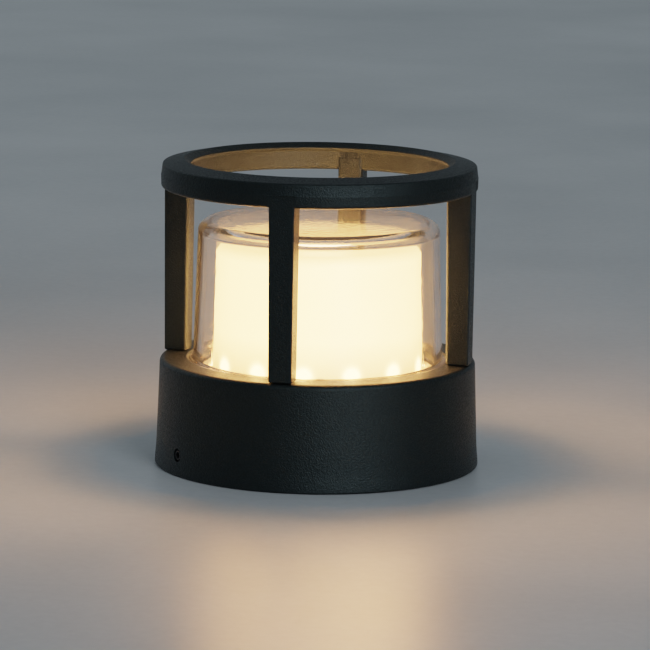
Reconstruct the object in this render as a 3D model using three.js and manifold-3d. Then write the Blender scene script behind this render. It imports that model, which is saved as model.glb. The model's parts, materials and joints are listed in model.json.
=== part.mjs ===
// Garden pedestal lantern: a cast base that drops over a ground plate, a clear glass cover over an
// opal light diffuser, and a cast cage of one ring on four posts. Millimetres, +Z up. The origin is
// the centre of the footprint on the ground, and the four posts stand on the X and Y axes.

import * as THREE from 'three';
import { mergeVertices } from 'three/addons/utils/BufferGeometryUtils.js';
import Module from 'manifold-3d';

const wasm = await Module();
wasm.setup();

// ---------------------------------------------------------------- driving dimensions

const GAP = 0.3; // clearance left between pieces that touch
const BIG_SEGMENTS = 48; // facets round the cage, base and plate
const CUP_SEGMENTS = 40; // facets round the glass and the diffuser
const SCREW_SEGMENTS = 10;
const QUARTER = Math.PI / 2;

const BASE = {
  footRadius: 80,
  footRound: 0.4,
  flareZ: 9, // the side flares a little below this height
  flareRadius: 79.35,
  topRadius: 77.87,
  topZ: 52.4,
  topRound: 2.5,
  recessRadius: 64.3,
  recessChamfer: 0.7,
  deckTopZ: 46,
  deckBottomZ: 42,
  skirtBoreTop: 74.4,
  skirtBoreFoot: 75.8,
  wallOuter: 66.7, // round wall of the wiring compartment
  wallInner: 63.5,
  wallFootZ: 17.9,
};

const CAGE = {
  ringFootZ: 136.9,
  partingZ: 142.8,
  partingRadius: 77.84,
  ringFootRadius: 77.7,
  footRound: 1.5,
  cornerRadius: 77.1,
  cornerZ: 148.8,
  cornerRound: 1,
  crestRadius: 66.2,
  crestZ: 150.7,
  lipRadius: 63.2,
  lipTopZ: 148.2,
  boreTop: 65, // the lip runs back to the bore at 45 degrees
  boreFoot: 65.6,
  boreChamfer: 1.5,
};

// A post tapers towards its foot: each size is given under the ring and at the foot.
const POST = {
  count: 4,
  footZ: BASE.topZ + GAP,
  tongueTopZ: 145.8, // above the ring's foot a post ends in a tongue just proud of the bore
  tongueInner: 64.9,
  tongueDepth: 3.4,
  top: { width: 12.6, outer: 77.3, inner: 64.7 },
  foot: { width: 11.5, outer: 76.9, inner: 65.6 },
  outerRound: 0.6,
  innerRound: 1.5,
};

const GLASS = {
  footZ: 48.3,
  flangeRadius: 63.7,
  flangeTopZ: 52.3,
  footRadius: 61.45,
  topRadius: 59.45,
  topZ: 120.5,
  round: 5,
  innerRound: 4,
  wall: 3,
};

const GASKET = { inner: 60, outer: GLASS.flangeRadius };

const DIFFUSER = {
  footZ: BASE.deckTopZ + GAP,
  flangeRadius: 57.2,
  flangeTopZ: 48,
  footRadius: 52.2,
  topRadius: 50.2,
  topZ: 109.5,
  round: 5,
  innerRound: 3,
  wall: 2,
};

const BOARD = {
  radius: 49.5,
  bottomZ: BASE.deckTopZ + GAP,
  thickness: 1.6,
  leadHole: 5.5,
  screwCircle: 24,
};

const LED = { count: 14, circle: 45, firstAngle: 6.1, side: 4, height: 1 };

const PLATE = {
  radius: 72.8,
  thickness: 2.5,
  rimTopZ: 12.6,
  rimWall: 2,
  cableHole: 14,
  slotCircle: 45,
  slotLength: 22,
  slotWidth: 6.5,
};

const COVER = {
  radius: 73.2,
  bottomZ: 13.3,
  thickness: 2.5,
  screwCircle: 69.8,
  screwCount: 4,
  bossRadius: 3.4,
  bossTopZ: 30,
};

const GRUB = { z: 10.3, radius: 2.95, tip: PLATE.radius + GAP, face: 78.9, bossRadius: 6 };

// Round-shank screws: shank radius, head radius and head height.
const M4 = { shank: 1.95, head: 3.3, headHeight: 3.3 };
const M3 = { shank: 1.45, head: 2.75, headHeight: 1.8 };
const M25 = { shank: 1.2, head: 2.1, headHeight: 1.3 };

const CAGE_SCREW = { circle: 70.4, tipZ: 68 };
const DIFFUSER_SCREW_CIRCLE = 54.75;
const DIFFUSER_SCREW_ANGLES = [45, 165, 285];
const BOARD_SCREW_ANGLES = [90, 210, 330];
const GRUB_ANGLES = { front_left: -135, back_right: 45 };
const SCREW_LENGTH = { board: 5.4, diffuser: 5.4, cover: 13, driver: 5, terminal: 9, earth: 3.2 };

const DRIVER = {
  x: 0,
  y: 24,
  length: 64,
  width: 34,
  height: 19,
  earLength: 8,
  earWidth: 12,
  earThickness: 2,
};
const TERMINAL = {
  x: 0,
  y: -36,
  length: 32,
  width: 18,
  height: 16,
  poleX: 10, // each pole's offset from the middle of the block
  wellY: 5,
  wellDepth: 5,
  seatDepth: 6, // floor left under the head of the fixing screw
};
const EARTH_SCREW = { x: -46, y: -18 };
const GROMMET = { hole: 5, bore: 3, lip: 6.5, lipHeight: 1 };
const GLAND = { bore: 3.6, thread: 7.9, flat: 10.5, hexHeight: 4, nutHeight: 5.2, topZ: 22 };

// ---------------------------------------------------------------- materials

const metal = (color, roughness, metalness) =>
  new THREE.MeshStandardMaterial({ color, roughness, metalness });
const plastic = (color, roughness) => metal(color, roughness, 0);

const anthracite = () => metal(0x24292b, 0.62, 0.35);
const clearGlass = () =>
  new THREE.MeshStandardMaterial({
    color: 0xf2f6f5,
    roughness: 0.03,
    metalness: 0,
    transparent: true,
    opacity: 0.25,
  });
const opal = () => plastic(0xf7f0df, 0.5);
const rubber = () => plastic(0x1c1c1c, 0.9);
const steel = () => metal(0xa9adb0, 0.35, 1);
const zincPlate = () => metal(0x9da2a3, 0.5, 0.9);
const whiteBoard = () => plastic(0xeceae2, 0.45);
const phosphor = () => plastic(0xf2cf4a, 0.4);
const whitePlastic = () => plastic(0xe4e4de, 0.55);
const blackPlastic = () => plastic(0x1d1f20, 0.55);

// ---------------------------------------------------------------- geometry helpers

// Points on a circular arc in the (r, z) half plane, angles in degrees.
function arc(r, z, radius, from, to, steps) {
  return Array.from({ length: steps + 1 }, (_, i) => {
    const angle = THREE.MathUtils.degToRad(from + ((to - from) * i) / steps);
    return [r + radius * Math.cos(angle), z + radius * Math.sin(angle)];
  });
}

function signedVolume(positions, index) {
  const corner = (i) => new THREE.Vector3().fromBufferAttribute(positions, index[i]);
  let volume = 0;
  for (let i = 0; i < index.length; i += 3) {
    volume += corner(i).dot(corner(i + 1).cross(corner(i + 2))) / 6;
  }
  return volume;
}

// Merge shared vertices, drop collapsed triangles and turn every face outward.
function weld(source) {
  source.deleteAttribute('normal');
  source.deleteAttribute('uv');
  const geometry = mergeVertices(source, 1e-4);
  const old = geometry.index.array;
  const index = [];
  for (let i = 0; i < old.length; i += 3) {
    const [a, b, c] = [old[i], old[i + 1], old[i + 2]];
    if (a !== b && b !== c && c !== a) {
      index.push(a, b, c);
    }
  }
  const inward = signedVolume(geometry.attributes.position, index) < 0;
  geometry.setIndex(inward ? index.reverse() : index);
  return geometry;
}

function toSolid(geometry) {
  const welded = weld(geometry);
  const mesh = new wasm.Mesh({
    numProp: 3,
    vertProperties: new Float32Array(welded.attributes.position.array),
    triVerts: new Uint32Array(welded.index.array),
  });
  return new wasm.Manifold(mesh);
}

function toGeometry(solid) {
  const mesh = solid.getMesh();
  const geometry = new THREE.BufferGeometry();
  geometry.setAttribute('position', new THREE.BufferAttribute(mesh.vertProperties, 3));
  geometry.setIndex(new THREE.BufferAttribute(mesh.triVerts, 1));
  return geometry;
}

function combine(geometry, extras, cuts) {
  let solid = toSolid(geometry);
  for (const extra of extras) {
    solid = solid.add(toSolid(extra));
  }
  for (const cut of cuts) {
    solid = solid.subtract(toSolid(cut));
  }
  return toGeometry(solid);
}

// Turn a profile of [r, z] points round the Z axis. It closes on itself unless it ends on the axis.
function turned(profile, segments) {
  const points = profile.map(([r, z]) => new THREE.Vector2(r, z));
  if (profile[0][0] > 0) {
    points.push(points[0].clone());
  }
  return weld(new THREE.LatheGeometry(points, segments).rotateX(QUARTER));
}

function ring(inner, outer, bottomZ, topZ, segments) {
  return turned([[inner, bottomZ], [outer, bottomZ], [outer, topZ], [inner, topZ]], segments);
}

// Upright cylinder from bottomZ to topZ, standing at (x, y).
function upright(radius, bottomZ, topZ, x = 0, y = 0, segments = 16) {
  const height = topZ - bottomZ;
  const geometry = new THREE.CylinderGeometry(radius, radius, height, segments);
  return weld(geometry.rotateX(QUARTER).translate(x, y, bottomZ + height / 2));
}

function box(xSize, ySize, zSize, x, y, z) {
  return weld(new THREE.BoxGeometry(xSize, ySize, zSize).translate(x, y, z));
}

// Point at an angle in degrees round the Z axis.
function polar(radius, degrees) {
  const angle = THREE.MathUtils.degToRad(degrees);
  return [radius * Math.cos(angle), radius * Math.sin(angle)];
}

// ---------------------------------------------------------------- assembly helpers

const lantern = new THREE.Group();
const groundPlateGroup = new THREE.Group();
const headGroup = new THREE.Group();
lantern.add(groundPlateGroup, headGroup);

function place(name, geometry, material, parent = headGroup) {
  const mesh = new THREE.Mesh(geometry, material);
  mesh.name = name;
  parent.add(mesh);
  return mesh;
}

// ---------------------------------------------------------------- cast base

function baseProfile() {
  const b = BASE;
  const roundCentre = [b.topRadius - b.topRound, b.topZ - b.topRound];
  return [
    [0, b.deckBottomZ],
    [b.wallInner, b.deckBottomZ],
    [b.wallInner, b.wallFootZ],
    [b.wallOuter, b.wallFootZ],
    [b.wallOuter, b.deckBottomZ],
    [b.skirtBoreTop, b.deckBottomZ],
    [b.skirtBoreFoot, 0],
    [b.footRadius - b.footRound, 0],
    [b.footRadius, b.footRound],
    [b.flareRadius, b.flareZ],
    ...arc(...roundCentre, b.topRound, 0, 90, 4),
    [b.recessRadius + b.recessChamfer, b.topZ],
    [b.recessRadius, b.topZ - b.recessChamfer],
    [b.recessRadius, b.deckTopZ],
    [0, b.deckTopZ],
  ];
}

// Horizontal cylinder that runs outwards at an angle round the Z axis.
function spoke(radius, from, to, z, degrees, segments = 16) {
  const geometry = new THREE.CylinderGeometry(radius, radius, to - from, segments);
  geometry.rotateZ(-QUARTER).translate((from + to) / 2, 0, z);
  return weld(geometry.rotateZ(THREE.MathUtils.degToRad(degrees)));
}

const coverScrewAngle = (i) => 22.5 + (360 / COVER.screwCount) * i;

function baseHousing() {
  const bosses = [];
  const cuts = [];
  const deck = [BASE.deckBottomZ - 1, BASE.deckTopZ + 1];
  for (const angle of Object.values(GRUB_ANGLES)) {
    bosses.push(spoke(GRUB.bossRadius, GRUB.tip + 0.5, BASE.skirtBoreFoot + 1, GRUB.z, angle));
    cuts.push(spoke(GRUB.radius + GAP, GRUB.tip - 1, BASE.footRadius + 1, GRUB.z, angle));
  }
  for (let i = 0; i < COVER.screwCount; i += 1) {
    const [x, y] = polar(COVER.screwCircle, coverScrewAngle(i));
    const footZ = COVER.bottomZ + COVER.thickness + GAP;
    bosses.push(upright(COVER.bossRadius, footZ, COVER.bossTopZ, x, y));
    cuts.push(upright(M3.shank + GAP, footZ - 1, COVER.bossTopZ - 2, x, y, SCREW_SEGMENTS));
  }
  for (let i = 0; i < POST.count; i += 1) {
    const [x, y] = polar(CAGE_SCREW.circle, i * 90);
    cuts.push(upright(M4.shank + GAP, BASE.deckBottomZ - 1, BASE.topZ + 1, x, y, SCREW_SEGMENTS));
  }
  for (const angle of BOARD_SCREW_ANGLES) {
    cuts.push(upright(M3.shank + GAP, ...deck, ...polar(BOARD.screwCircle, angle), SCREW_SEGMENTS));
  }
  for (const angle of DIFFUSER_SCREW_ANGLES) {
    const at = polar(DIFFUSER_SCREW_CIRCLE, angle);
    cuts.push(upright(M25.shank + GAP, ...deck, ...at, SCREW_SEGMENTS));
  }
  const blindHoles = [[TERMINAL.x, TERMINAL.y], [EARTH_SCREW.x, EARTH_SCREW.y]];
  for (const [x, y] of [...driverScrewPlaces(), ...blindHoles]) {
    cuts.push(upright(M3.shank + GAP, BASE.deckBottomZ - 1, BASE.deckTopZ - 1, x, y, SCREW_SEGMENTS));
  }
  cuts.push(upright(GROMMET.hole, ...deck));
  return combine(turned(baseProfile(), BIG_SEGMENTS), bosses, cuts);
}

// ---------------------------------------------------------------- cast cage

function ringProfile() {
  const c = CAGE;
  const footCentre = [c.ringFootRadius - c.footRound, c.ringFootZ + c.footRound];
  const cornerCentre = [c.cornerRadius - c.cornerRound, c.cornerZ - c.cornerRound];
  return [
    [c.boreFoot + c.boreChamfer, c.ringFootZ],
    ...arc(...footCentre, c.footRound, -90, 0, 3),
    [c.partingRadius, c.partingZ],
    ...arc(...cornerCentre, c.cornerRound, 0, 80, 3),
    [c.crestRadius, c.crestZ],
    [c.lipRadius, c.lipTopZ],
    [c.boreTop, c.lipTopZ - (c.boreTop - c.lipRadius)],
    [c.boreFoot, c.ringFootZ + c.boreChamfer],
  ];
}

// Plan outline of a post that stands on the +X axis: small rounds outside, larger ones inside.
function postOutline(size, depth) {
  const half = size.width / 2;
  const inner = size.outer - depth;
  const [o, i] = [POST.outerRound, POST.innerRound];
  const shape = new THREE.Shape();
  shape.moveTo(inner + i, -half);
  shape.lineTo(size.outer - o, -half);
  shape.quadraticCurveTo(size.outer, -half, size.outer, -half + o);
  shape.lineTo(size.outer, half - o);
  shape.quadraticCurveTo(size.outer, half, size.outer - o, half);
  shape.lineTo(inner + i, half);
  shape.quadraticCurveTo(inner, half, inner, half - i);
  shape.lineTo(inner, -half + i);
  shape.quadraticCurveTo(inner, -half, inner + i, -half);
  return shape;
}

// Shrink a post's plan towards its foot, as the casting's draft does.
function taper(geometry) {
  const { top, foot, footZ } = POST;
  const position = geometry.attributes.position;
  const centre = (size) => (size.outer + size.inner) / 2;
  for (let i = 0; i < position.count; i += 1) {
    const t = Math.max(0, (CAGE.partingZ - position.getZ(i)) / (CAGE.partingZ - footZ));
    const depthScale = 1 + t * ((foot.outer - foot.inner) / (top.outer - top.inner) - 1);
    const widthScale = 1 + t * (foot.width / top.width - 1);
    const middle = centre(top) + t * (centre(foot) - centre(top));
    position.setX(i, middle + (position.getX(i) - centre(top)) * depthScale);
    position.setY(i, position.getY(i) * widthScale);
  }
  return geometry;
}

function cagePost(degrees) {
  const { top, footZ } = POST;
  const options = { bevelEnabled: false, curveSegments: 3 };
  const barHeight = CAGE.partingZ - footZ;
  const bar = new THREE.ExtrudeGeometry(postOutline(top, top.outer - top.inner), {
    ...options,
    depth: barHeight,
  });
  taper(bar.translate(0, 0, footZ));
  return weld(bar.rotateZ(THREE.MathUtils.degToRad(degrees)));
}

// The upper end of a post, which runs up the ring's bore to just under its lip.
function cageTongue(degrees) {
  const { top, tongueInner, tongueDepth, tongueTopZ } = POST;
  const height = tongueTopZ - CAGE.partingZ + 1;
  const x = tongueInner + tongueDepth / 2;
  const tongue = box(tongueDepth, top.width, height, x, 0, tongueTopZ - height / 2);
  return tongue.rotateZ(THREE.MathUtils.degToRad(degrees));
}

function cage() {
  const extras = [];
  const cuts = [];
  for (let i = 0; i < POST.count; i += 1) {
    const [x, y] = polar(CAGE_SCREW.circle, i * 90);
    extras.push(cagePost(i * 90), cageTongue(i * 90));
    cuts.push(flatAbovePost(i * 90));
    cuts.push(upright(M4.shank + GAP, POST.footZ - 1, CAGE_SCREW.tipZ + 2, x, y, SCREW_SEGMENTS));
  }
  return combine(turned(ringProfile(), BIG_SEGMENTS), extras, cuts);
}

// Below its parting line the ring is flush with the flat face of each post.
function flatAbovePost(degrees) {
  const { top } = POST;
  const height = CAGE.partingZ - CAGE.ringFootZ + 1;
  const flat = box(2, top.width, height, top.outer + 1, 0, CAGE.partingZ - height / 2);
  return flat.rotateZ(THREE.MathUtils.degToRad(degrees));
}

// ---------------------------------------------------------------- glass, diffuser and light source

// An inverted cup with an outward flange at its foot.
function cupProfile(cup) {
  const roundCentre = [cup.topRadius - cup.round, cup.topZ - cup.round];
  const inset = cup.wall + cup.innerRound;
  const innerCentre = [cup.topRadius - inset, cup.topZ - inset];
  return [
    [0, cup.topZ - cup.wall],
    ...arc(...innerCentre, cup.innerRound, 90, 0, 3),
    [cup.footRadius - cup.wall, cup.footZ],
    [cup.flangeRadius, cup.footZ],
    [cup.flangeRadius, cup.flangeTopZ],
    [cup.footRadius, cup.flangeTopZ],
    ...arc(...roundCentre, cup.round, 0, 90, 4),
    [0, cup.topZ],
  ];
}

function diffuser() {
  const cuts = DIFFUSER_SCREW_ANGLES.map((angle) => {
    const [x, y] = polar(DIFFUSER_SCREW_CIRCLE, angle);
    return upright(M25.shank + GAP, DIFFUSER.footZ - 1, DIFFUSER.flangeTopZ + 1, x, y, SCREW_SEGMENTS);
  });
  return combine(turned(cupProfile(DIFFUSER), CUP_SEGMENTS), [], cuts);
}

function ledBoard() {
  const topZ = BOARD.bottomZ + BOARD.thickness;
  const cuts = BOARD_SCREW_ANGLES.map((angle) => {
    const [x, y] = polar(BOARD.screwCircle, angle);
    return upright(M3.shank + GAP, BOARD.bottomZ - 1, topZ + 1, x, y, SCREW_SEGMENTS);
  });
  return combine(ring(BOARD.leadHole, BOARD.radius, BOARD.bottomZ, topZ, CUP_SEGMENTS), [], cuts);
}

function addLeds() {
  const z = BOARD.bottomZ + BOARD.thickness + GAP + LED.height / 2;
  for (let i = 0; i < LED.count; i += 1) {
    const angle = LED.firstAngle - 90 + (360 / LED.count) * i;
    const chip = place(
      `led_${String(i + 1).padStart(2, '0')}`,
      weld(new THREE.BoxGeometry(LED.side, LED.side, LED.height)),
      phosphor(),
    );
    chip.position.set(...polar(LED.circle, angle), z);
    chip.rotation.z = THREE.MathUtils.degToRad(angle);
  }
}

// ---------------------------------------------------------------- screws

// Screw with its seat at z = 0 and its shank downwards. A head is round, with a driving recess.
function screw(size, length) {
  const { shank, head, headHeight } = size;
  const body = turned(
    [[0, -length], [shank, -length], [shank, 0], [head, 0], [head, headHeight], [0, headHeight]],
    SCREW_SEGMENTS,
  );
  const recess = new THREE.CylinderGeometry(shank * 0.8, shank * 0.8, headHeight, 6);
  return combine(body, [], [weld(recess.rotateX(QUARTER).translate(0, 0, headHeight))]);
}

// Countersunk screw with its face at z = 0 and its shank downwards.
function countersunkScrew(size, length) {
  const { shank, head } = size;
  const cone = head - shank;
  return turned([[0, -length], [shank, -length], [shank, -cone], [head, 0], [0, 0]], SCREW_SEGMENTS);
}

function placeScrew(name, geometry, x, y, z, pointsUp) {
  const mesh = place(name, geometry, steel());
  mesh.position.set(x, y, z);
  mesh.rotation.x = pointsUp ? Math.PI : 0;
}

function addCageScrews() {
  const seatZ = BASE.deckBottomZ - GAP;
  const names = ['right', 'back', 'left', 'front'];
  names.forEach((side, i) => {
    const [x, y] = polar(CAGE_SCREW.circle, i * 90);
    placeScrew(`cage_screw_${side}`, screw(M4, CAGE_SCREW.tipZ - seatZ), x, y, seatZ, true);
  });
}

function addBoardScrews() {
  const seatZ = BOARD.bottomZ + BOARD.thickness + GAP;
  BOARD_SCREW_ANGLES.forEach((angle, i) => {
    const [x, y] = polar(BOARD.screwCircle, angle);
    const boardScrew = screw(M3, SCREW_LENGTH.board);
    placeScrew(`board_screw_${i + 1}`, boardScrew, x, y, seatZ, false);
  });
}

function addDiffuserScrews() {
  const seatZ = DIFFUSER.flangeTopZ + GAP;
  DIFFUSER_SCREW_ANGLES.forEach((angle, i) => {
    const [x, y] = polar(DIFFUSER_SCREW_CIRCLE, angle);
    placeScrew(`diffuser_screw_${i + 1}`, screw(M25, SCREW_LENGTH.diffuser), x, y, seatZ, false);
  });
}

function addCoverScrews() {
  for (let i = 0; i < COVER.screwCount; i += 1) {
    const [x, y] = polar(COVER.screwCircle, coverScrewAngle(i));
    const faceZ = COVER.bottomZ + 0.1;
    const coverScrew = countersunkScrew(M3, SCREW_LENGTH.cover);
    placeScrew(`cover_screw_${i + 1}`, coverScrew, x, y, faceZ, true);
  }
}

// Socket grub screw, lying along +X from its tip to its socket face.
function grubScrew() {
  const length = GRUB.face - GRUB.tip;
  const tipChamfer = 0.6;
  const body = turned(
    [
      [0, 0],
      [GRUB.radius - tipChamfer, 0],
      [GRUB.radius, tipChamfer],
      [GRUB.radius, length - 0.4],
      [GRUB.radius - 0.4, length],
      [0, length],
    ],
    16,
  );
  const socket = weld(new THREE.CylinderGeometry(1.7, 1.7, 5, 6).rotateX(QUARTER));
  const cut = combine(body, [], [socket.translate(0, 0, length)]);
  return cut.rotateY(QUARTER).translate(GRUB.tip, 0, 0);
}

function addGrubScrews() {
  for (const [side, angle] of Object.entries(GRUB_ANGLES)) {
    const mesh = place(`grub_screw_${side}`, grubScrew(), steel());
    mesh.position.z = GRUB.z;
    mesh.rotation.z = THREE.MathUtils.degToRad(angle);
  }
}

// ---------------------------------------------------------------- wiring compartment

function grommet() {
  const neck = GROMMET.hole - GAP;
  const [bottomZ, topZ] = [BASE.deckBottomZ - GAP, BASE.deckTopZ];
  return turned(
    [
      [GROMMET.bore, bottomZ - GROMMET.lipHeight],
      [GROMMET.lip, bottomZ - GROMMET.lipHeight],
      [GROMMET.lip, bottomZ],
      [neck, bottomZ],
      [neck, topZ],
      [GROMMET.bore, topZ],
    ],
    16,
  );
}

function driverScrewPlaces() {
  const offset = DRIVER.length / 2 + DRIVER.earLength / 2;
  return [-offset, offset].map((x) => [DRIVER.x + x, DRIVER.y]);
}

// Potted driver hung under the deck by an ear at each end.
function driver() {
  const topZ = BASE.deckBottomZ - GAP;
  const { x, y, length, width, height, earLength, earWidth, earThickness } = DRIVER;
  const can = new THREE.Shape();
  const [l, w, round] = [length / 2, width / 2, 3];
  can.moveTo(-l + round, -w);
  can.lineTo(l - round, -w);
  can.quadraticCurveTo(l, -w, l, -w + round);
  can.lineTo(l, w - round);
  can.quadraticCurveTo(l, w, l - round, w);
  can.lineTo(-l + round, w);
  can.quadraticCurveTo(-l, w, -l, w - round);
  can.lineTo(-l, -w + round);
  can.quadraticCurveTo(-l, -w, -l + round, -w);
  const body = new THREE.ExtrudeGeometry(can, {
    depth: height,
    bevelEnabled: false,
    curveSegments: 3,
  });
  const earSpan = length + 2 * earLength;
  const ears = box(earSpan, earWidth, earThickness, x, y, topZ - earThickness / 2);
  const holes = driverScrewPlaces().map(([sx, sy]) =>
    upright(M3.shank + GAP, topZ - earThickness - 1, topZ + 1, sx, sy, SCREW_SEGMENTS),
  );
  return combine(body.translate(x, y, topZ - height), [ears], holes);
}

function addDriverScrews() {
  const seatZ = BASE.deckBottomZ - GAP - DRIVER.earThickness - GAP;
  driverScrewPlaces().forEach(([x, y], i) => {
    placeScrew(`driver_screw_${i + 1}`, screw(M3, SCREW_LENGTH.driver), x, y, seatZ, true);
  });
}

// Three-pole terminal block with screw wells underneath and wire mouths on both long sides.
function terminalBlock() {
  const { x, y, length, width, height, poleX, wellY, wellDepth, seatDepth } = TERMINAL;
  const bottomZ = BASE.deckBottomZ - GAP - height;
  const topZ = BASE.deckBottomZ - GAP;
  const midZ = topZ - height / 2;
  const cuts = [upright(M3.shank + GAP, bottomZ - 1, topZ + 1, x, y, SCREW_SEGMENTS)];
  cuts.push(upright(M3.head + GAP, bottomZ - 1, topZ - seatDepth, x, y, SCREW_SEGMENTS));
  for (const pole of [-1, 1]) {
    for (const side of [-1, 1]) {
      const wellX = x + pole * poleX;
      const wellTopZ = bottomZ + wellDepth;
      const well = upright(2, bottomZ - 1, wellTopZ, wellX, y + side * wellY, SCREW_SEGMENTS);
      const mouth = new THREE.CylinderGeometry(1.8, 1.8, 4, SCREW_SEGMENTS);
      cuts.push(well, weld(mouth.translate(wellX, y + (side * width) / 2, midZ)));
    }
  }
  return combine(box(length, width, height, x, y, midZ), [], cuts);
}

function addTerminalScrew() {
  const seatZ = BASE.deckBottomZ - GAP - TERMINAL.seatDepth - GAP;
  const fixing = screw(M3, SCREW_LENGTH.terminal);
  placeScrew('terminal_block_screw', fixing, TERMINAL.x, TERMINAL.y, seatZ, true);
}

function addEarthScrew() {
  const stud = screw(M3, SCREW_LENGTH.earth);
  placeScrew('earth_screw', stud, EARTH_SCREW.x, EARTH_SCREW.y, BASE.deckBottomZ - GAP, true);
}

// Insulated wire along a smooth curve through the given places.
function wire(places, radius) {
  const curve = new THREE.CatmullRomCurve3(places.map((p) => new THREE.Vector3(...p)));
  const section = new THREE.Shape();
  section.absarc(0, 0, radius, 0, 2 * Math.PI, false);
  return weld(
    new THREE.ExtrudeGeometry(section, {
      steps: 14,
      curveSegments: 4,
      extrudePath: curve,
      bevelEnabled: false,
    }),
  );
}

// The low-voltage pair climbs from the driver through the grommet to the board.
function lampLead(side) {
  const driverFace = DRIVER.y - DRIVER.width / 2 - GAP;
  const boardTop = BOARD.bottomZ + BOARD.thickness;
  return wire(
    [
      [side * 1.5, driverFace, 33],
      [side * 1.5, driverFace - 4, 33.6],
      [side * 1.5, 0.6, 37],
      [side * 1.5, 0, 43],
      [side * 1.9, 0, 48.5],
      [side * 5, 0, 50.6],
      [side * 9, 0, boardTop + 1.2],
    ],
    0.7,
  );
}

// The mains pair runs from the terminal block to the driver, past the gland.
function mainsLead(side) {
  const driverFace = DRIVER.y - DRIVER.width / 2 - GAP;
  const blockFace = TERMINAL.y + TERMINAL.width / 2;
  const z = BASE.deckBottomZ - GAP - TERMINAL.height / 2;
  return wire(
    [
      [side * 10, blockFace - 1, z],
      [side * 10, blockFace + 4, z],
      [side * 14, -14, z - 3],
      [side * 17, -4, z - 3],
      [side * 18, driverFace - 4, z - 1],
      [side * 18, driverFace, z - 1],
    ],
    1.1,
  );
}

// ---------------------------------------------------------------- bottom cover and cable gland

function bottomCover() {
  const { radius, bottomZ, thickness } = COVER;
  const topZ = bottomZ + thickness;
  const disc = ring(GLAND.thread + GAP, radius, bottomZ, topZ, BIG_SEGMENTS);
  const cuts = [];
  for (let i = 0; i < COVER.screwCount; i += 1) {
    const [x, y] = polar(COVER.screwCircle, coverScrewAngle(i));
    const [hole, face] = [M3.shank + GAP, M3.head + GAP];
    const sink = turned(
      [
        [0, -1],
        [face + 1, -1],
        [hole, face - hole],
        [hole, thickness + 1],
        [0, thickness + 1],
      ],
      SCREW_SEGMENTS,
    );
    cuts.push(sink.translate(x, y, bottomZ));
  }
  return combine(disc, [], cuts);
}

function hexagonBand(flat, bottomZ, topZ, bore) {
  const hexagon = new THREE.Shape();
  const corner = flat / Math.cos(Math.PI / 6);
  for (let i = 0; i < 6; i += 1) {
    const [x, y] = polar(corner, 60 * i);
    i === 0 ? hexagon.moveTo(x, y) : hexagon.lineTo(x, y);
  }
  hexagon.closePath();
  const band = new THREE.ExtrudeGeometry(hexagon, { depth: topZ - bottomZ, bevelEnabled: false });
  const hole = upright(bore, bottomZ - 1, topZ + 1);
  return combine(band.translate(0, 0, bottomZ), [], [hole]);
}

function glandBody() {
  const hexTopZ = COVER.bottomZ - GAP;
  const hexBottomZ = hexTopZ - GLAND.hexHeight;
  const thread = ring(GLAND.bore, GLAND.thread, hexBottomZ + 1, GLAND.topZ, 16);
  return combine(hexagonBand(GLAND.flat, hexBottomZ, hexTopZ, GLAND.bore), [thread], []);
}

function glandNut() {
  const topZ = COVER.bottomZ - GAP - GLAND.hexHeight - GAP;
  const bottomZ = topZ - GLAND.nutHeight;
  const round = 1.5;
  return turned(
    [
      [GLAND.bore, bottomZ],
      [GLAND.flat - 1 - round, bottomZ],
      [GLAND.flat - 1, bottomZ + round],
      [GLAND.flat - 1, topZ],
      [GLAND.bore, topZ],
    ],
    16,
  );
}

function glandLocknut() {
  const bottomZ = COVER.bottomZ + COVER.thickness + GAP;
  return hexagonBand(GLAND.flat, bottomZ, bottomZ + 4, GLAND.thread + GAP);
}

// ---------------------------------------------------------------- ground plate

function slot(x) {
  const half = PLATE.slotLength / 2 - PLATE.slotWidth / 2;
  const shape = new THREE.Shape();
  shape.absarc(half, 0, PLATE.slotWidth / 2, -QUARTER, QUARTER, false);
  shape.absarc(-half, 0, PLATE.slotWidth / 2, QUARTER, 3 * QUARTER, false);
  const cut = new THREE.ExtrudeGeometry(shape, {
    depth: PLATE.thickness + 2,
    bevelEnabled: false,
    curveSegments: 6,
  });
  return weld(cut.translate(x, 0, -1));
}

function mountingPlate() {
  const { radius, thickness, rimTopZ, rimWall, cableHole } = PLATE;
  const bend = 1.5;
  const dish = turned(
    [
      [cableHole, 0],
      [radius - bend, 0],
      [radius, bend],
      [radius, rimTopZ],
      [radius - rimWall, rimTopZ],
      [radius - rimWall, thickness],
      [cableHole, thickness],
    ],
    BIG_SEGMENTS,
  );
  return combine(dish, [], [slot(-PLATE.slotCircle), slot(PLATE.slotCircle)]);
}

// ---------------------------------------------------------------- assembly

place('mounting_plate', mountingPlate(), zincPlate(), groundPlateGroup);

place('base_housing', baseHousing(), anthracite());
place('cage', cage(), anthracite());
place('glass_cover', turned(cupProfile(GLASS), CUP_SEGMENTS), clearGlass());
place(
  'glass_gasket',
  ring(GASKET.inner, GASKET.outer, BASE.deckTopZ + GAP, GLASS.footZ - GAP, CUP_SEGMENTS),
  rubber(),
);
place('diffuser', diffuser(), opal());
place('led_board', ledBoard(), whiteBoard());
addLeds();

addCageScrews();
addBoardScrews();
addDiffuserScrews();
addGrubScrews();

place('lead_grommet', grommet(), rubber());
place('driver', driver(), whitePlastic());
addDriverScrews();
place('terminal_block', terminalBlock(), whitePlastic());
addTerminalScrew();
addEarthScrew();
place('lead_positive', lampLead(1), plastic(0xa3251f, 0.6));
place('lead_negative', lampLead(-1), plastic(0x222222, 0.6));
place('lead_live', mainsLead(1), plastic(0x6b4226, 0.6));
place('lead_neutral', mainsLead(-1), plastic(0x2f5f9e, 0.6));

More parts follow.
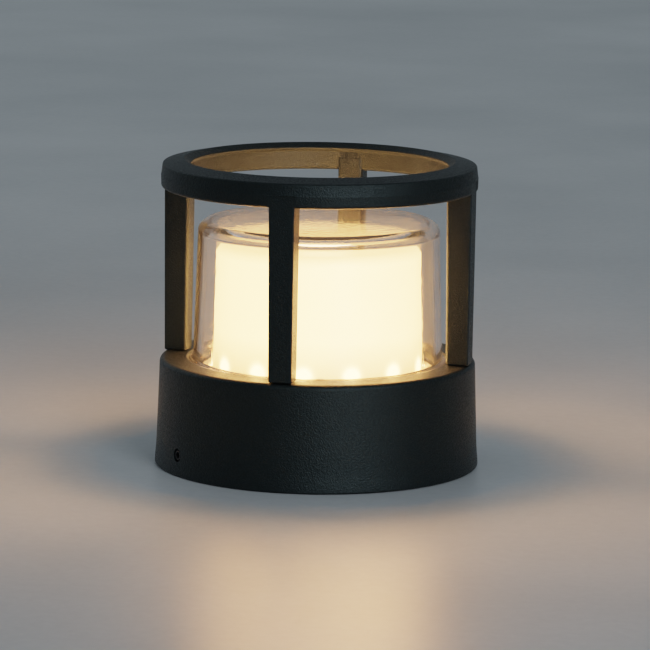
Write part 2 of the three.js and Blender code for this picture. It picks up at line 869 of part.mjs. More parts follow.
const coverTopZ = COVER.bottomZ + COVER.thickness;
place('bottom_cover', bottomCover(), zincPlate());
const coverGasketOuter = BASE.wallOuter - 2 * GAP;
place(
  'cover_gasket',
  ring(BASE.wallInner + GAP, coverGasketOuter, coverTopZ + GAP, BASE.wallFootZ - GAP, BIG_SEGMENTS),
  rubber(),
);
addCoverScrews();
place('gland_body', glandBody(), blackPlastic());
place('gland_nut', glandNut(), blackPlastic());
place('gland_locknut', glandLocknut(), blackPlastic());

export default lantern;
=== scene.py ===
"""Garden pedestal lantern: fine surfaces, materials, floor, light and camera round the frame.

Lengths are millimetres in the shape sections, and are turned into metres where a mesh is made.
Lights and the camera are placed in metres.
"""

import json
import math

import bmesh
import bpy
from mathutils import Matrix, Vector


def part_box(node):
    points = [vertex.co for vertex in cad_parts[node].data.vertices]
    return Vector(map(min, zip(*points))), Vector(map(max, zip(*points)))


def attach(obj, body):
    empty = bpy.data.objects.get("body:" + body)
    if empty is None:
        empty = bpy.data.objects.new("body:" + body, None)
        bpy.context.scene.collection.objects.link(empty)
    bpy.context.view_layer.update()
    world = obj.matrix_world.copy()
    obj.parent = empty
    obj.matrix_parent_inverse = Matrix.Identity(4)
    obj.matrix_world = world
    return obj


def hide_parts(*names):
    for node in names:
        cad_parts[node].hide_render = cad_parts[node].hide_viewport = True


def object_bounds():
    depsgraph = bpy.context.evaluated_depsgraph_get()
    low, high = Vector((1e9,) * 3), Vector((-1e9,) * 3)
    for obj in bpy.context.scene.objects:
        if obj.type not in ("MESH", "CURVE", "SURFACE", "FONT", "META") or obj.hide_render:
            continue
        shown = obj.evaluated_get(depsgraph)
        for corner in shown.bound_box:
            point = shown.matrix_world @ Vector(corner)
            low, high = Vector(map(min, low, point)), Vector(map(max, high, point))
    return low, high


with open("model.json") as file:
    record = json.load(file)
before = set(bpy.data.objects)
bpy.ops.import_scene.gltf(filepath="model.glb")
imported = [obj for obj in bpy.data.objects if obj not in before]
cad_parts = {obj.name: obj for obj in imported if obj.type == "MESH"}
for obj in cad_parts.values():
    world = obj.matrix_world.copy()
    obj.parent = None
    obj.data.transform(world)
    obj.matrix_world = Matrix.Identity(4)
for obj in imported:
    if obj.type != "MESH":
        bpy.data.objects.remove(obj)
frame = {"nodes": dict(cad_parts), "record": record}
cad_low, cad_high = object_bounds()

MM = 0.001
ROUND_SEGMENTS = 192  # facets round a large turned piece
SMALL_SEGMENTS = 40  # facets round a screw or a drilled hole
SHARP_DEGREES = 32  # a steeper bend than this stays a crisp edge

# ------------------------------------------------------------------ sizes read from the frame


def top_of(node):
    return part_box(node)[1].z / MM


def foot_of(node):
    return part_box(node)[0].z / MM


def radius_of(node):
    low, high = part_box(node)
    return max(-low.x, high.x) / MM


BASE_RADIUS = radius_of("base_housing")
BASE_TOP = top_of("base_housing")
CAGE_TOP = top_of("cage")
POST_FOOT = foot_of("cage")
PARTING_HEIGHT = 142.8  # where the ring's lower, wider part ends
RING_FOOT = 136.9
GLASS_TOP = top_of("glass_cover")
GLASS_FOOT = foot_of("glass_cover")
GLASS_FLANGE = radius_of("glass_cover")
GLASS_FLANGE_TOP = GLASS_FOOT + 4.0
DIFFUSER_TOP = top_of("diffuser")
DIFFUSER_FOOT = foot_of("diffuser")
DIFFUSER_FLANGE = radius_of("diffuser")
DIFFUSER_FLANGE_TOP = DIFFUSER_FOOT + 1.7
PLATE_RADIUS = radius_of("mounting_plate")
PLATE_RIM_TOP = top_of("mounting_plate")
LED_COUNT = sum(1 for name in frame["nodes"] if name.startswith("led_") and name != "led_board")
LED_FIRST_ANGLE = math.radians(-83.9)  # one light point; the others follow evenly

# ------------------------------------------------------------------ mesh helpers


def arc(r, z, radius, start, end, steps):
    """Points on a circular arc in the (r, z) half plane, angles in degrees."""
    angles = [math.radians(start + (end - start) * i / steps) for i in range(steps + 1)]
    return [(r + radius * math.cos(a), z + radius * math.sin(a)) for a in angles]


def polar(radius, degrees):
    angle = math.radians(degrees)
    return radius * math.cos(angle), radius * math.sin(angle)


def finish_mesh(name, bm):
    """Turn a bmesh in millimetres into a smooth-shaded object in metres."""
    bmesh.ops.recalc_face_normals(bm, faces=bm.faces)
    bmesh.ops.scale(bm, vec=(MM, MM, MM), verts=bm.verts)
    mesh = bpy.data.meshes.new(name)
    bm.to_mesh(mesh)
    bm.free()
    piece = bpy.data.objects.new(name, mesh)
    bpy.context.scene.collection.objects.link(piece)
    shade(piece)
    return piece


def shade(piece):
    """Smooth shading with true flats: rounds take the bend, large faces keep their own normal."""
    piece.data.shade_smooth()
    piece.data.set_sharp_from_angle(angle=math.radians(SHARP_DEGREES))
    if not piece.modifiers:
        modifier = piece.modifiers.new("true_flats", "WEIGHTED_NORMAL")
        modifier.keep_sharp = True
        modifier.weight = 100


def lathe(name, profile, segments=ROUND_SEGMENTS):
    """Turn a profile of (r, z) points round Z. It closes on itself unless it ends on the axis."""
    bm = bmesh.new()
    turns = [2 * math.pi / segments * i for i in range(segments)]
    rings = []
    for r, z in profile:
        around = turns if r > 0 else [0]
        rings.append([bm.verts.new((r * math.cos(a), r * math.sin(a), z)) for a in around])
    pairs = list(zip(rings, rings[1:]))
    if len(rings[0]) > 1:
        pairs.append((rings[-1], rings[0]))
    for low, high in pairs:
        for i in range(segments):
            j = (i + 1) % segments
            corners = (low, i), (low, j), (high, j), (high, i)
            face = dict.fromkeys(ring[k % len(ring)] for ring, k in corners)
            bm.faces.new(list(face))
    return finish_mesh(name, bm)


def loft(name, outlines):
    """Skin a stack of closed outlines, each a list of (x, y, z), with flat ends."""
    bm = bmesh.new()
    loops = [[bm.verts.new(point) for point in outline] for outline in outlines]
    count = len(loops[0])
    for low, high in zip(loops, loops[1:]):
        for i in range(count):
            j = (i + 1) % count
            bm.faces.new((low[i], low[j], high[j], high[i]))
    bm.faces.new(loops[0][::-1])
    bm.faces.new(loops[-1])
    return finish_mesh(name, bm)


def rod(radius, start, end, segments=SMALL_SEGMENTS):
    """A plain cylinder between two points, to cut or join with."""
    axis = Vector(end) - Vector(start)
    bm = bmesh.new()
    bmesh.ops.create_cone(
        bm, cap_ends=True, segments=segments, radius1=radius, radius2=radius, depth=axis.length
    )
    turn = Vector((0, 0, 1)).rotation_difference(axis).to_matrix().to_4x4()
    middle = Matrix.Translation((Vector(start) + Vector(end)) / 2)
    bmesh.ops.transform(bm, matrix=middle @ turn, verts=bm.verts)
    return finish_mesh("tool", bm)


def block(low, high, degrees=0):
    """A plain box between two corners, turned round Z, to cut with."""
    bm = bmesh.new()
    bmesh.ops.create_cube(bm, size=1)
    size = Vector(high) - Vector(low)
    centre = (Vector(high) + Vector(low)) / 2
    bmesh.ops.scale(bm, vec=size, verts=bm.verts)
    bmesh.ops.translate(bm, vec=centre, verts=bm.verts)
    bmesh.ops.rotate(bm, matrix=Matrix.Rotation(math.radians(degrees), 3, "Z"), verts=bm.verts)
    return finish_mesh("tool", bm)


def combine(piece, tools, operation):
    """Join tools to a piece, or cut them from it, and throw the tools away."""
    piece.modifiers.clear()
    for tool in tools:
        modifier = piece.modifiers.new("boolean", "BOOLEAN")
        modifier.operation = operation
        modifier.solver = "EXACT"
        modifier.object = tool
        bake_modifiers(piece)
        bpy.data.objects.remove(tool)
    shade(piece)


def bake_modifiers(piece):
    bpy.context.view_layer.update()
    graph = bpy.context.evaluated_depsgraph_get()
    mesh = bpy.data.meshes.new_from_object(piece.evaluated_get(graph))
    piece.modifiers.clear()
    piece.data = mesh


# ------------------------------------------------------------------ material helpers


class Nodes:
    """A short way to build one material's node tree round its Principled shader."""

    def __init__(self, name):
        self.material = bpy.data.materials.new(name)
        self.material.use_nodes = True
        self.tree = self.material.node_tree
        self.shader = self.tree.nodes["Principled BSDF"]
        self.coordinates = self.add("ShaderNodeTexCoord").outputs["Object"]

    def add(self, kind, **settings):
        node = self.tree.nodes.new(kind)
        for key, value in settings.items():
            setattr(node, key, value)
        return node

    def link(self, source, target):
        self.tree.links.new(source, target)

    def noise(self, scale, detail=3.0, roughness=0.6, coordinates=None):
        node = self.add("ShaderNodeTexNoise")
        node.inputs["Scale"].default_value = scale
        node.inputs["Detail"].default_value = detail
        node.inputs["Roughness"].default_value = roughness
        self.link(coordinates or self.coordinates, node.inputs["Vector"])
        return node.outputs["Fac"]

    def stretched(self, scale):
        """Object coordinates scaled along X, Y and Z."""
        mapping = self.add("ShaderNodeMapping")
        mapping.inputs["Scale"].default_value = scale
        self.link(self.coordinates, mapping.inputs["Vector"])
        return mapping.outputs["Vector"]

    def ramp(self, source, stops):
        node = self.add("ShaderNodeValToRGB")
        elements = node.color_ramp.elements
        while len(elements) < len(stops):
            elements.new(0.5)
        for element, (position, colour) in zip(elements, stops):
            element.position = position
            element.color = (*colour, 1)
        self.link(source, node.inputs["Fac"])
        return node.outputs["Color"]

    def grain(self, size, **settings):
        """Noise whose grains are about the given size in millimetres."""
        return self.noise(1 / (size * MM), **settings)

    def spread(self, source, low, high, from_low=0.3, from_high=0.7):
        """Map a range of the source, by default the middle of a noise, to low..high."""
        node = self.add("ShaderNodeMapRange")
        values = (from_low, from_high, low, high)
        for key, value in zip(("From Min", "From Max", "To Min", "To Max"), values):
            node.inputs[key].default_value = value
        self.link(source, node.inputs["Value"])
        return node.outputs["Result"]

    def math(self, operation, *values):
        node = self.add("ShaderNodeMath", operation=operation)
        for socket, value in zip(node.inputs, values):
            if isinstance(value, (int, float)):
                socket.default_value = value
            else:
                self.link(value, socket)
        return node.outputs["Value"]

    def mixed(self, first, second, share):
        """A blend of two values, with the given share of the second."""
        return self.math(
            "ADD", self.math("MULTIPLY", first, 1 - share), self.math("MULTIPLY", second, share)
        )

    def bump(self, height, strength, distance, normal=None):
        node = self.add("ShaderNodeBump")
        node.inputs["Strength"].default_value = strength
        node.inputs["Distance"].default_value = distance
        self.link(height, node.inputs["Height"])
        if normal is not None:
            self.link(normal, node.inputs["Normal"])
        return node.outputs["Normal"]

    def set(self, **values):
        """Set or link the shader's sockets, named with _ for a space."""
        for key, value in values.items():
            socket = self.shader.inputs[key.replace("_", " ")]
            if isinstance(value, bpy.types.NodeSocket):
                self.link(value, socket)
            else:
                socket.default_value = value


def speckled(name, dark, light, roughness, grain, depth, metallic=0.0, stretch=None):
    """A finish with grains of the given size and bumps of the given depth, in millimetres."""
    n = Nodes(name)
    coordinates = n.stretched(stretch) if stretch else n.coordinates
    fine = n.grain(grain, detail=2.5, roughness=0.65, coordinates=coordinates)
    broad = n.grain(grain / 0.12, coordinates=coordinates)
    n.set(
        Base_Color=n.ramp(n.mixed(fine, broad, 0.35), [(0.32, dark), (0.68, light)]),
        Roughness=n.spread(broad, roughness - 0.05, roughness + 0.05),
        Metallic=metallic,
        Normal=n.bump(fine, 0.6, depth * MM),
    )
    return n.material


# ------------------------------------------------------------------ materials


def powder_coat():
    """Anthracite fine-texture powder coat: a dark, grainy skin with a dull sheen."""
    n = Nodes("anthracite_coat")
    grain = n.grain(0.85, detail=2.5, roughness=0.75)
    tone = n.mixed(grain, n.grain(2.2), 0.2)
    dark, light = (0.0008, 0.0013, 0.0014), (0.0065, 0.0088, 0.0094)
    n.set(
        Base_Color=n.ramp(tone, [(0.40, dark), (0.62, light)]),
        Roughness=n.spread(grain, 0.50, 0.30, 0.38, 0.62),
        IOR=1.52,
        Specular_Tint=(0.80, 0.98, 1.0, 1),
        Normal=n.bump(grain, 1.0, 0.34 * MM),
    )
    return n.material


def clear_glass():
    """Pressed glass: a faint warm tint, slow waves and fine upright streaks."""
    n = Nodes("clear_glass")
    streaks = n.noise(260, detail=2.5, coordinates=n.stretched((1, 1, 0.12)))
    waves = n.bump(n.noise(28, detail=1.5, roughness=0.4), 0.25, 0.35 * MM)
    clouds = n.noise(220, detail=4, roughness=0.7)
    deep, faint = (0.955, 0.935, 0.905), (0.98, 0.962, 0.938)
    n.set(
        Base_Color=n.ramp(clouds, [(0.4, deep), (0.6, faint)]),
        Roughness=0.0,
        IOR=1.49,
        Transmission_Weight=0.994,
        Normal=n.bump(streaks, 0.6, 0.06 * MM, waves),
    )
    return n.material


LAMP_COLOUR = (1.0, 0.52, 0.165)
LAMP_STRENGTH = 14.5
SPOT_GAIN = 4.2  # a hot spot's glow against the even glow
SPOT_HEIGHT = DIFFUSER_FOOT + 5.0
SPOT_REACH = 3.6  # how far up and down a hot spot fades
SPILL_COLOUR = (1.0, 0.51, 0.24)
SPILL_POWER = 2.2
SPILL_RADIUS = 30
SPILL_DEPTH = 18  # below the diffuser's top


def light_spots(n, x, y, z):
    """A soft bulb-shaped glow, low on the diffuser, over each light point."""
    turned = n.math("SUBTRACT", n.math("ARCTAN2", y, x), LED_FIRST_ANGLE)
    wave = n.math("COSINE", n.math("MULTIPLY", turned, LED_COUNT))
    peak = n.math("POWER", n.spread(wave, 0, 1, -1, 1), 5)
    away = n.math("DIVIDE", n.math("SUBTRACT", z, SPOT_HEIGHT * MM), SPOT_REACH * MM)
    band = n.math("EXPONENT", n.math("MULTIPLY", n.math("MULTIPLY", away, away), -1))
    return n.math("MULTIPLY", peak, band)


def even_glow(n, z):
    """The broad glow: dimmer at the foot and on the flat top, with faint clouds."""
    foot = n.spread(z, 0.36, 1.0, DIFFUSER_FOOT * MM, (DIFFUSER_FOOT + 22) * MM)
    top = n.spread(z, 1.0, 0.68, (DIFFUSER_TOP - 5.0) * MM, (DIFFUSER_TOP - 0.4) * MM)
    cloud = n.spread(n.noise(30, detail=2), 0.96, 1.04)
    return n.math("MULTIPLY", n.math("MULTIPLY", foot, top), cloud)


def opal_glow():
    """Opal plastic lit from inside, with a hot spot over each light point and a dim flange."""
    n = Nodes("opal_diffuser")
    parts = n.add("ShaderNodeSeparateXYZ")
    n.link(n.coordinates, parts.inputs["Vector"])
    x, y, z = (parts.outputs[axis] for axis in "XYZ")
    spots = n.math("MULTIPLY", light_spots(n, x, y, z), SPOT_GAIN)
    radius = n.math("SQRT", n.math("ADD", n.math("MULTIPLY", x, x), n.math("MULTIPLY", y, y)))
    fade_start, fade_end = 53.0 * MM, 54.4 * MM
    inside = n.spread(radius, 1.0, 0.05, fade_start, fade_end)
    level = n.math("MULTIPLY", n.math("ADD", even_glow(n, z), spots), inside)
    n.set(
        Base_Color=n.ramp(n.noise(60), [(0.3, (0.80, 0.76, 0.68)), (0.7, (0.86, 0.83, 0.76))]),
        Roughness=n.spread(n.noise(900, detail=2), 0.38, 0.5),
        Emission_Color=(*LAMP_COLOUR, 1),
        Emission_Strength=n.math("MULTIPLY", level, LAMP_STRENGTH),
        Coat_Weight=1.0,
        Coat_IOR=1.45,
        Coat_Roughness=0.4,
        Coat_Tint=(0.72, 0.66, 0.6, 1),
    )
    return n.material


def metal_finish(name, colour, roughness, grain, depth, stretch=None):
    dark = tuple(c * 0.82 for c in colour)
    return speckled(name, dark, colour, roughness, grain, depth, 0.95, stretch)


def plastic_finish(name, colour, roughness):
    dark = tuple(c * 0.85 for c in colour)
    return speckled(name, dark, colour, roughness, 0.35, 0.03)


MATERIALS = {
    "anthracite_coat": powder_coat(),
    "clear_glass": clear_glass(),
    "opal_diffuser": opal_glow(),
    "black_rubber": plastic_finish("black_rubber", (0.020, 0.020, 0.020), 0.8),
    "white_board": plastic_finish("white_board", (0.80, 0.79, 0.75), 0.4),
    "phosphor": plastic_finish("phosphor", (0.86, 0.60, 0.12), 0.35),
    "black_oxide": metal_finish("black_oxide", (0.07, 0.07, 0.072), 0.4, 0.3, 0.02),
    "screw_steel": metal_finish("screw_steel", (0.55, 0.56, 0.57), 0.32, 0.25, 0.01),
    "zinc_plate": metal_finish("zinc_plate", (0.52, 0.54, 0.55), 0.38, 1.8, 0.02, (1, 1, 0.3)),
    "white_plastic": plastic_finish("white_plastic", (0.74, 0.74, 0.71), 0.5),
    "black_plastic": plastic_finish("black_plastic", (0.022, 0.023, 0.024), 0.5),
    "red_wire": plastic_finish("red_wire", (0.40, 0.03, 0.02), 0.4),
    "black_wire": plastic_finish("black_wire", (0.02, 0.02, 0.02), 0.4),
    "brown_wire": plastic_finish("brown_wire", (0.14, 0.055, 0.025), 0.4),
    "blue_wire": plastic_finish("blue_wire", (0.03, 0.11, 0.35), 0.4),
}


def paint(piece, slot):
    piece.data.materials.clear()
    piece.data.materials.append(MATERIALS[slot])


def dress(piece, slot, body, node):
    """Give a new piece its finish and its body, and hide the CAD node that it stands for."""
    paint(piece, slot)
    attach(piece, body)
    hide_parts(node)


def dress_cad_nodes():
    """Every CAD node gets its procedural finish."""
    for row in frame["record"]["subparts"]:
        paint(frame["nodes"][row["node"]], row["material_slot"])


# ------------------------------------------------------------------ cast base

RECESS_RADIUS = 64.3
RECESS_ROUND = 0.7
DECK_TOP = 46.0
DECK_BOTTOM = 42.0
GRUB_HEIGHT = (foot_of("grub_screw_front_left") + top_of("grub_screw_front_left")) / 2
GRUB_ANGLES = {"front_left": -135, "back_right": 45}


def base_profile():
    flare, top_radius, edge, foot_edge = 79.35, 77.87, 2.5, 0.9
    wall_inner, wall_outer, wall_foot = 63.5, 66.7, 17.9
    skirt_bore_top, skirt_bore_foot = 74.4, 75.8
    return [
        (0, DECK_BOTTOM),
        (wall_inner, DECK_BOTTOM),
        (wall_inner, wall_foot),
        (wall_outer, wall_foot),
        (wall_outer, DECK_BOTTOM),
        (skirt_bore_top, DECK_BOTTOM),
        (skirt_bore_foot, 0),
        (BASE_RADIUS - foot_edge, 0),
        *arc(BASE_RADIUS - foot_edge, foot_edge, foot_edge, -60, -10, 4),
        (BASE_RADIUS - 0.12, 3),
        (BASE_RADIUS - 0.42, 6),
        (flare, 9),
        (flare - 0.16, 12),
        *arc(top_radius - edge, BASE_TOP - edge, edge, 2, 90, 10),
        (RECESS_RADIUS + 1.0, BASE_TOP),
        *arc(RECESS_RADIUS + RECESS_ROUND, BASE_TOP - RECESS_ROUND, RECESS_ROUND, 90, 180, 4),
        (RECESS_RADIUS, DECK_TOP),
        (0, DECK_TOP),
    ]


def spoke(radius, start, end, degrees):
    """A rod at the side screws' height that points away from the axis."""
    ends = [(*polar(r, degrees), GRUB_HEIGHT) for r in (start, end)]
    return rod(radius, *ends)


def make_base():
    boss_radius, hole_radius = 6, 3.25
    base = lathe("base_casting", base_profile())
    bosses = [spoke(boss_radius, 73.6, 77.2, degrees) for degrees in GRUB_ANGLES.values()]
    holes = [spoke(hole_radius, 70, 84, degrees) for degrees in GRUB_ANGLES.values()]
    combine(base, bosses, "UNION")
    combine(base, holes, "DIFFERENCE")
    dress(base, "anthracite_coat", "head", "base_housing")


# ------------------------------------------------------------------ cast cage

POST_TOP_SIZE = {"width": 12.6, "outer": 77.3, "inner": 64.7}
POST_FOOT_SIZE = {"width": 11.5, "outer": 76.9, "inner": 65.6}
POST_ANGLES = (0, 90, 180, 270)


def ring_profile():
    """The ring's section: chamfered bore, wider lower part, sloping crest and overhanging lip."""
    bore_foot, bore_top, chamfer = 65.6, 65.0, 1.5
    foot_radius, foot_round = 77.7, 1.5
    parting_radius = 77.84
    corner_radius, corner_height, corner_round = 77.1, 148.8, 1.0
    crest_radius, lip_radius, lip_height, lip_round = 66.2, 63.2, 148.2, 0.5
    return [
        (bore_foot, RING_FOOT + chamfer),
        (bore_foot + 0.15, RING_FOOT + chamfer - 0.3),
        (bore_foot + chamfer - 0.35, RING_FOOT + 0.15),
        (bore_foot + chamfer, RING_FOOT),
        *arc(foot_radius - foot_round, RING_FOOT + foot_round, foot_round, -90, -3, 7),
        (parting_radius - 0.04, PARTING_HEIGHT - 0.15),
        (parting_radius, PARTING_HEIGHT),
        (parting_radius - 0.12, PARTING_HEIGHT + 0.25),
        (parting_radius - 0.24, PARTING_HEIGHT + 1.0),
        *arc(corner_radius - corner_round, corner_height - corner_round, corner_round, 0, 80, 6),
        *arc(crest_radius + 0.5, CAGE_TOP - 0.62, 0.6, 75, 130, 4),
        *arc(lip_radius + lip_round, lip_height - 0.15, lip_round, 125, 225, 6),
        (bore_top - 0.15, lip_height - 1.8),
        (bore_top, lip_height - 2.1),
    ]


def rounded_section(size, z, inset=0.0):
    """A post's plan on the +X axis: small rounds on its outer edges, larger ones inside."""
    half = size["width"] / 2 - inset
    outer, inner = size["outer"] - inset, size["inner"] + inset
    small, large = 0.7, 1.6
    corners = [
        (outer - small, -half + small, small, -90),
        (outer - small, half - small, small, 0),
        (inner + large, half - large, large, 90),
        (inner + large, -half + large, large, 180),
    ]
    points = []
    for x, y, radius, start in corners:
        points += [(px, py, z) for px, py in arc(x, y, radius, start, start + 90, 5)]
    return points


def blended(t):
    """A post's plan sizes at share t of the way from its foot to the ring."""
    foot, top = POST_FOOT_SIZE, POST_TOP_SIZE
    return {key: foot[key] + t * (top[key] - foot[key]) for key in foot}


def turned_to(outline, degrees):
    cos, sin = math.cos(math.radians(degrees)), math.sin(math.radians(degrees))
    return [(x * cos - y * sin, x * sin + y * cos, z) for x, y, z in outline]


def post_bar(degrees):
    """A post from its rounded foot up to the top of the ring's wider part."""
    edge, steps = 0.8, 8
    stack = [rounded_section(blended(0), POST_FOOT, edge)]
    for bend in (15, 35, 60, 90):
        angle = math.radians(bend)
        z = POST_FOOT + edge * (1 - math.cos(angle))
        stack.append(rounded_section(blended(0), z, edge * (1 - math.sin(angle))))
    for i in range(1, steps + 1):
        z = POST_FOOT + edge + (PARTING_HEIGHT - POST_FOOT - edge) * i / steps
        stack.append(rounded_section(blended(i / steps), z))
    return loft("tool", [turned_to(outline, degrees) for outline in stack])


def post_tongue(degrees):
    """The upper end of a post, proud of the ring's bore and ending below its lip."""
    size = {**POST_TOP_SIZE, "outer": 71.0, "inner": 64.9}
    foot, top = 142.0, 145.8
    stack = [rounded_section(size, z) for z in (foot, top)]
    return loft("tool", [turned_to(outline, degrees) for outline in stack])


def make_cage():
    cage = lathe("cage_casting", ring_profile())
    half, outer = POST_TOP_SIZE["width"] / 2, POST_TOP_SIZE["outer"]
    low, high = (outer, -half, RING_FOOT - 1), (outer + 3, half, PARTING_HEIGHT)
    combine(cage, [block(low, high, degrees) for degrees in POST_ANGLES], "DIFFERENCE")
    combine(cage, [post_bar(degrees) for degrees in POST_ANGLES], "UNION")
    combine(cage, [post_tongue(degrees) for degrees in POST_ANGLES], "UNION")
    dress(cage, "anthracite_coat", "head", "cage")


# ------------------------------------------------------------------ glass and diffuser


def make_glass():
    """The clear cup. It casts no shadow, so that the lamp's light passes through it cleanly."""
    foot, top, wall, edge, inner_edge = 61.45, 59.45, 3.0, 5.2, 4.0
    bevel, under, over, fillet = 0.6, 0.8, 0.9, 1.0
    inner = top - wall - inner_edge
    profile = [
        (0, GLASS_TOP - wall),
        *arc(inner, GLASS_TOP - wall - inner_edge, inner_edge, 90, 0, 5),
        (foot - wall, GLASS_FOOT + bevel),
        (foot - wall + bevel, GLASS_FOOT),
        (GLASS_FLANGE - under, GLASS_FOOT),
        *arc(GLASS_FLANGE - under, GLASS_FOOT + under, under, -90, 0, 4),
        *arc(GLASS_FLANGE - over, GLASS_FLANGE_TOP - over, over, 0, 90, 5),
        *arc(foot + fillet, GLASS_FLANGE_TOP + fillet, fillet, 270, 182, 6),
        *arc(top - edge, GLASS_TOP - edge, edge, 2, 90, 12),
        (0, GLASS_TOP),
    ]
    glass = lathe("glass_shell", profile)
    glass.visible_shadow = False
    glass.visible_diffuse = False
    dress(glass, "clear_glass", "head", "glass_cover")


def make_diffuser():
    """The glowing opal cup. It casts no shadow, so that the light inside it reaches out."""
    foot, top, wall, edge, fillet = 52.2, 50.2, 2.0, 5.0, 1.0
    profile = [
        (0, DIFFUSER_TOP - wall),
        *arc(top - edge, DIFFUSER_TOP - edge, edge - wall, 90, 0, 6),
        (foot - wall, DIFFUSER_FOOT),
        (DIFFUSER_FLANGE, DIFFUSER_FOOT),
        (DIFFUSER_FLANGE, DIFFUSER_FLANGE_TOP),
        *arc(foot + fillet, DIFFUSER_FLANGE_TOP + fillet, fillet, 270, 182, 4),
        *arc(top - edge, DIFFUSER_TOP - edge, edge, 2, 90, 12),
        (0, DIFFUSER_TOP),
    ]
    cup = lathe("opal_cup", profile)
    cup.visible_shadow = False
    dress(cup, "opal_diffuser", "head", "diffuser")


# ------------------------------------------------------------------ ground plate and side screws


def make_plate():
    """The pressed ground plate, with its cable hole and two slots for ground screws."""
    hole, bevel, sheet = 14.0, 0.3, 2.5
    wall, bend, inner_bend, rim_edge = 2.0, 2.2, 0.8, 0.4
    inner = PLATE_RADIUS - wall
    profile = [
        (hole + bevel, 0),
        *arc(PLATE_RADIUS - bend, bend, bend, -90, 0, 6),
        *arc(PLATE_RADIUS - rim_edge, PLATE_RIM_TOP - rim_edge, rim_edge, 0, 90, 3),
        *arc(inner + rim_edge, PLATE_RIM_TOP - rim_edge, rim_edge, 90, 180, 3),
        *arc(inner - inner_bend, sheet + inner_bend, inner_bend, 0, -90, 4),
        (hole + bevel, sheet),
        (hole, sheet - bevel),
        (hole, bevel),
    ]
    plate = lathe("ground_plate_pressing", profile)
    slots = []
    reach, half_width = 7.75, 3.25
    below, above = -2, sheet + 2
    for centre in (-45.0, 45.0):
        left, right = centre - reach, centre + reach
        slots += [rod(half_width, (x, 0, below), (x, 0, above)) for x in (left, right)]
        slots.append(block((left, -half_width, below), (right, half_width, above)))
    combine(plate, slots, "DIFFERENCE")
    dress(plate, "zinc_plate", "ground_plate", "mounting_plate")


def make_grub(side, degrees):
    """Socket grub screw, turned upright and then laid along its own radius of the base."""
    tip, face, radius = PLATE_RADIUS + 0.3, 78.9, 2.95
    root, threads, thread_start, plain = radius - 0.35, 5, 0.6, 1.1
    socket_radius, socket_depth = 1.75, 2.6
    length = face - tip
    pitch = (length - plain) / threads
    profile = [(0, 0), (radius - 0.9, 0)]
    for i in range(threads):
        z = thread_start + pitch * i
        profile += [(root, z), (radius, z + pitch / 2)]
    profile += [(root, length - 0.4), (radius - 0.6, length), (0, length)]
    grub = lathe(f"grub_{side}", profile, SMALL_SEGMENTS)
    socket = rod(socket_radius, (0, 0, length - socket_depth), (0, 0, length + 1), 6)
    combine(grub, [socket], "DIFFERENCE")
    turn = Matrix.Rotation(math.radians(degrees), 4, "Z")
    place = Matrix.Translation((tip * MM, 0, GRUB_HEIGHT * MM))
    lay = Matrix.Rotation(math.pi / 2, 4, "Y")
    grub.data.transform(turn @ place @ lay)
    dress(grub, "black_oxide", f"grub_{side}", f"grub_screw_{side}")


# ------------------------------------------------------------------ camera, floor and light

CAMERA_AZIMUTH = math.radians(13.4)
CAMERA_ELEVATION = math.radians(9.87)
CAMERA_ROLL = math.radians(0.764)
CAMERA_DISTANCE = 2.0175
CAMERA_LENS = 226.5
CAMERA_SENSOR = 36
TARGET_RIGHT = 0.0035  # how far right of the lantern's axis the camera looks
TARGET_HEIGHT = 0.0683


def make_camera():
    a, e = CAMERA_AZIMUTH, CAMERA_ELEVATION
    back = Vector((math.sin(a) * math.cos(e), -math.cos(a) * math.cos(e), math.sin(e)))
    right = Vector((math.cos(a), math.sin(a), 0))
    camera = bpy.data.objects.new("camera", bpy.data.cameras.new("camera"))
    bpy.context.scene.collection.objects.link(camera)
    camera.data.lens = CAMERA_LENS
    camera.data.sensor_width = CAMERA_SENSOR
    camera.data.clip_start = 0.05
    camera.data.clip_end = 100
    look = (-back).to_track_quat("-Z", "Y").to_matrix().to_4x4()
    roll = Matrix.Rotation(CAMERA_ROLL, 4, "Z")
    target = right * TARGET_RIGHT + Vector((0, 0, TARGET_HEIGHT))
    camera.matrix_world = Matrix.Translation(target + back * CAMERA_DISTANCE) @ look @ roll
    bpy.context.scene.camera = camera


FLOOR_RADIUS = 9000
FLOOR_DROP = 0.2  # keeps the floor clear of the faces that stand on it


def make_floor():
    """A plain pale floor, faintly mottled, with painted light: its colour brightens far off,
    where the lamps' light falls away, to meet the sky.
    """
    bm = bmesh.new()
    bmesh.ops.create_circle(bm, cap_ends=True, segments=96, radius=FLOOR_RADIUS)
    floor = finish_mesh("floor", bm)
    floor.location.z = cad_low.z - FLOOR_DROP * MM
    n = Nodes("pale_floor")
    broad = n.noise(3.2, detail=5, roughness=0.55)
    fine = n.noise(160, detail=4, roughness=0.7)
    away = n.add("ShaderNodeVectorMath", operation="LENGTH")
    n.link(n.coordinates, away.inputs[0])
    # Painted light: the floor's colour is lightened with distance from the lantern, in place of
    # the light that falls away far off.
    painted_light_start, painted_light_end = 0.5, 4.0  # metres from the lantern
    painted_distance_light = n.spread(away.outputs["Value"], 0, 0.3, painted_light_start, painted_light_end)
    tone = n.math("ADD", n.mixed(broad, fine, 0.25), painted_distance_light)
    # The far colour is painted light, reached where the distance brightening lifts the tone.
    dark, light, far = (0.50, 0.53, 0.55), (0.65, 0.675, 0.69), (0.80, 0.83, 0.85)
    n.set(
        Base_Color=n.ramp(tone, [(0.35, dark), (0.65, light), (1.0, far)]),
        Roughness=n.spread(broad, 0.32, 0.40),
        IOR=1.9,
        Normal=n.bump(fine, 0.25, 0.4 * MM),
    )
    floor.data.materials.append(n.material)


def add_light(name, kind, power, colour):
    data = bpy.data.lights.new(name, kind)
    data.energy = power
    data.color = colour
    light = bpy.data.objects.new(name, data)
    bpy.context.scene.collection.objects.link(light)
    return light


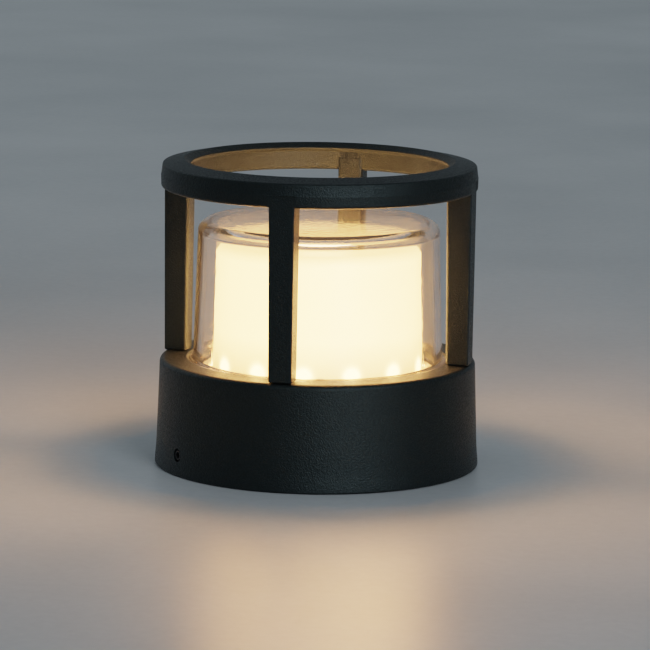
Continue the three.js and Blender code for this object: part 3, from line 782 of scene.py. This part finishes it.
def soft_light(name, place, size, power, colour):
    """A large round light that faces the lantern."""
    light = add_light(name, "AREA", power, colour)
    light.data.shape = "DISK"
    light.data.size = size
    light.location = place
    light.rotation_mode = "QUATERNION"
    light.rotation_quaternion = (-Vector(place)).to_track_quat("-Z", "Y")


def lamp_spill():
    """A small lamp in the diffuser, for light on the posts, ring and floor beyond the glow's."""
    light = add_light("lamp_spill", "POINT", SPILL_POWER, SPILL_COLOUR)
    light.data.shadow_soft_size = SPILL_RADIUS * MM
    light.location.z = (DIFFUSER_TOP - SPILL_DEPTH) * MM
    light.visible_transmission = False
    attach(light, "head")


def make_sky():
    """An even, dim sky, a little brighter overhead."""
    world = bpy.data.worlds.new("studio")
    world.use_nodes = True
    nodes, links = world.node_tree.nodes, world.node_tree.links
    coordinates = nodes.new("ShaderNodeTexCoord")
    parts = nodes.new("ShaderNodeSeparateXYZ")
    ramp = nodes.new("ShaderNodeValToRGB")
    horizon, overhead = ramp.color_ramp.elements
    horizon.position, horizon.color = 0.05, (0.52, 0.60, 0.64, 1)
    overhead.position, overhead.color = 0.6, (0.68, 0.77, 0.83, 1)
    links.new(coordinates.outputs["Generated"], parts.inputs["Vector"])
    links.new(parts.outputs["Z"], ramp.inputs["Fac"])
    background = nodes["Background"]
    background.inputs["Strength"].default_value = 0.27
    links.new(ramp.outputs["Color"], background.inputs["Color"])
    bpy.context.scene.world = world


def make_light():
    make_sky()
    soft_light("soft_right", (2.0, -2.6, 1.3), 1.6, 36, (0.92, 0.96, 1.0))
    soft_light("soft_left", (-2.6, 1.4, 1.6), 2.4, 4, (0.90, 0.96, 1.0))
    lamp_spill()
    bpy.context.scene.view_settings.view_transform = "Filmic"
    bpy.context.scene.view_settings.look = "Medium High Contrast"


# ------------------------------------------------------------------ assembly

make_camera()
dress_cad_nodes()
make_base()
make_cage()
make_glass()
make_diffuser()
make_plate()
for grub_side, grub_degrees in GRUB_ANGLES.items():
    make_grub(grub_side, grub_degrees)
make_floor()
make_light()
